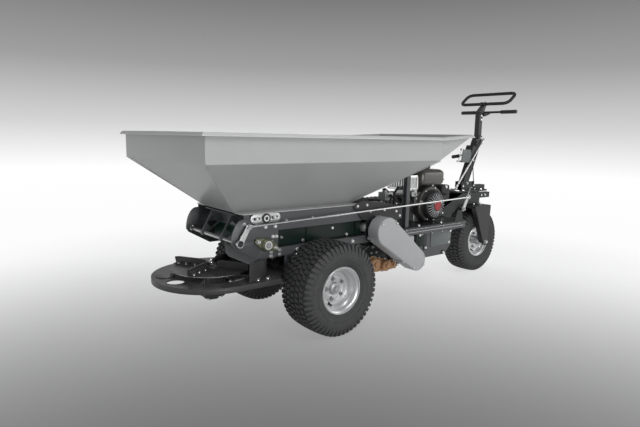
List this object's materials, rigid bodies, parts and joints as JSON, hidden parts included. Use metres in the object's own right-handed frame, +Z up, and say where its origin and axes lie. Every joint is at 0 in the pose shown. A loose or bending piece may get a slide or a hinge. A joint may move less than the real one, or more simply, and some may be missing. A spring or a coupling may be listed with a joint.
{
  "type": "lawn topdresser",
  "caption": "Walk-behind lawn topdresser: sloped sheet hopper over a belt conveyor, metering gate, spinner disc, driven wheels, petrol engine and a steered wheel with a tiller.",
  "frame": {"origin": "on the ground, at the bottom centre of the bounding box", "axes": "+X from the spinner end to the operator, +Y across from the gate rod's side to the other, +Z up"},
  "size_m": [2.611, 0.942, 1.2992],
  "materials": {
    "hopper_paint": "satin light grey powder coat",
    "frame_paint": "satin charcoal powder coat",
    "cover_paint": "satin grey powder coat",
    "black_paint": "satin black paint",
    "zinc": "bright zinc plate",
    "turf_tyre": "moulded turf tread",
    "belt": "dark green belt face",
    "cast_bronze": "bronze painted casting",
    "cast_alloy": "as cast",
    "grip_plastic": "matt black moulding"
  },
  "bodies": {
    "machine": {"left_frame_rail": "frame_paint", "right_frame_rail": "frame_paint", "left_axle_bracket": "frame_paint", "right_axle_bracket": "frame_paint", "axle_housing": "black_paint", "left_skirt_rail": "frame_paint", "right_skirt_rail": "frame_paint", "left_head_plate": "frame_paint", "right_head_plate": "frame_paint", "left_tail_plate": "frame_paint", "right_tail_plate": "frame_paint", "left_head_bearing": "cast_alloy", "right_head_bearing": "cast_alloy", "conveyor_belt": "belt", "chain_cover": "cover_paint", "hopper": "hopper_paint", "left_hopper_post": "frame_paint", "right_hopper_post": "frame_paint", "gate_lever_bracket": "frame_paint", "spinner_deck": "black_paint", "spreader_wall": "black_paint", "left_deck_hanger": "frame_paint", "right_deck_hanger": "frame_paint", "spinner_gearbox": "black_paint", "discharge_chute": "cover_paint", "gearbox": "cast_bronze", "engine_platform": "frame_paint", "belly_pan": "frame_paint", "engine_block": "cast_alloy", "blower_housing": "black_paint", "recoil_starter": "black_paint", "fuel_tank": "black_paint", "muffler": "cast_alloy", "air_cleaner": "grip_plastic", "steering_head": "frame_paint"},
    "left_wheel": {"left_drive_tyre": "turf_tyre", "left_drive_rim": "zinc", "left_drive_hub": "zinc"},
    "right_wheel": {"right_drive_tyre": "turf_tyre", "right_drive_rim": "zinc", "right_drive_hub": "zinc"},
    "front_roller": {"head_roller": "zinc"},
    "rear_roller": {"tail_roller": "zinc"},
    "drive_sprocket": {"output_sprocket": "zinc"},
    "spinner": {"spinner_disc": "black_paint"},
    "gate": {"metering_gate": "zinc"},
    "gate_control": {"gate_lever": "zinc"},
    "gate_link": {"gate_rod": "zinc"},
    "tank_cap": {"fuel_cap": "grip_plastic"},
    "steering": {"fork": "black_paint", "tiller_base": "black_paint", "tiller_column": "frame_paint", "brace_rod": "zinc"},
    "steered_wheel": {"steered_tyre": "turf_tyre", "steered_rim": "zinc"},
    "shifter": {"shift_lever": "grip_plastic"},
    "handle": {"handle_stem": "frame_paint", "handle_loop": "grip_plastic"},
    "clutch_bar": {"drive_bar": "grip_plastic"}
  },
  "joints": [
    {"name": "left_wheel_spin", "type": "hinge", "parent": "machine", "child": "left_wheel", "pos_m": [-0.563, -0.345, 0.228], "axis": [0, 1, 0], "continuous": true},
    {"name": "right_wheel_spin", "type": "hinge", "parent": "machine", "child": "right_wheel", "pos_m": [-0.563, 0.345, 0.228], "axis": [0, 1, 0], "continuous": true},
    {"name": "rear_roller_spin", "type": "hinge", "parent": "machine", "child": "rear_roller", "pos_m": [-0.153, 0, 0.4545], "axis": [0, 1, 0], "continuous": true},
    {"name": "front_roller_spin", "type": "hinge", "parent": "machine", "child": "front_roller", "pos_m": [-0.867, 0, 0.4545], "axis": [0, 1, 0], "continuous": true},
    {"name": "drive_sprocket_spin", "type": "hinge", "parent": "machine", "child": "drive_sprocket", "pos_m": [0.102, -0.2, 0.265], "axis": [0, 1, 0], "continuous": true},
    {"name": "spinner_spin", "type": "hinge", "parent": "machine", "child": "spinner", "pos_m": [-1.027, 0, 0.318], "axis": [0, 0, 1], "continuous": true},
    {"name": "gate_lever_turn", "type": "hinge", "parent": "machine", "child": "gate_control", "pos_m": [0.6035, -0.26, 0.5167], "axis": [0, 1, 0], "range_deg": [-35, 5]},
    {"name": "gate_turn", "type": "hinge", "parent": "machine", "child": "gate", "pos_m": [-1.015, 0, 0.476], "axis": [0, 1, 0], "range_deg": [-35, 5]},
    {"name": "gate_link_turn", "type": "hinge", "parent": "gate_control", "child": "gate_link", "pos_m": [0.647, -0.2696, 0.59204], "axis": [0, 1, 0], "range_deg": [-5, 35]},
    {"name": "tank_cap_turn", "type": "hinge", "parent": "machine", "child": "tank_cap", "pos_m": [0.46467, -0.061, 0.78], "axis": [0, 0, 1], "range_deg": [0, 90]},
    {"name": "steering_turn", "type": "hinge", "parent": "machine", "child": "steering", "pos_m": [1.092, 0, 0.54], "axis": [0, 0, 1], "range_deg": [-55, 55]},
    {"name": "steered_wheel_spin", "type": "hinge", "parent": "steering", "child": "steered_wheel", "pos_m": [1.078, 0, 0.228], "axis": [0, 1, 0], "continuous": true},
    {"name": "shift_lever_turn", "type": "hinge", "parent": "steering", "child": "shifter", "pos_m": [1.0043, 0.0353, 0.8545], "axis": [0, 1, 0], "range_deg": [-20, 20]},
    {"name": "handle_tilt", "type": "hinge", "parent": "steering", "child": "handle", "pos_m": [1.092, 0, 0.968], "axis": [0, 1, 0], "range_deg": [-25, 20]},
    {"name": "clutch_bar_turn", "type": "hinge", "parent": "handle", "child": "clutch_bar", "pos_m": [1.12, 0, 1.135], "axis": [0, 1, 0], "range_deg": [-25, 0], "stiffness_Nm_per_rad": 1.5}
  ],
  "couplings": [
    {"joint": "front_roller_spin", "follows": "rear_roller_spin", "ratio": 1},
    {"joint": "drive_sprocket_spin", "follows": "rear_roller_spin", "ratio": 1.4},
    {"joint": "gate_turn", "follows": "gate_lever_turn", "ratio": 1},
    {"joint": "gate_link_turn", "follows": "gate_lever_turn", "ratio": -1}
  ]
}
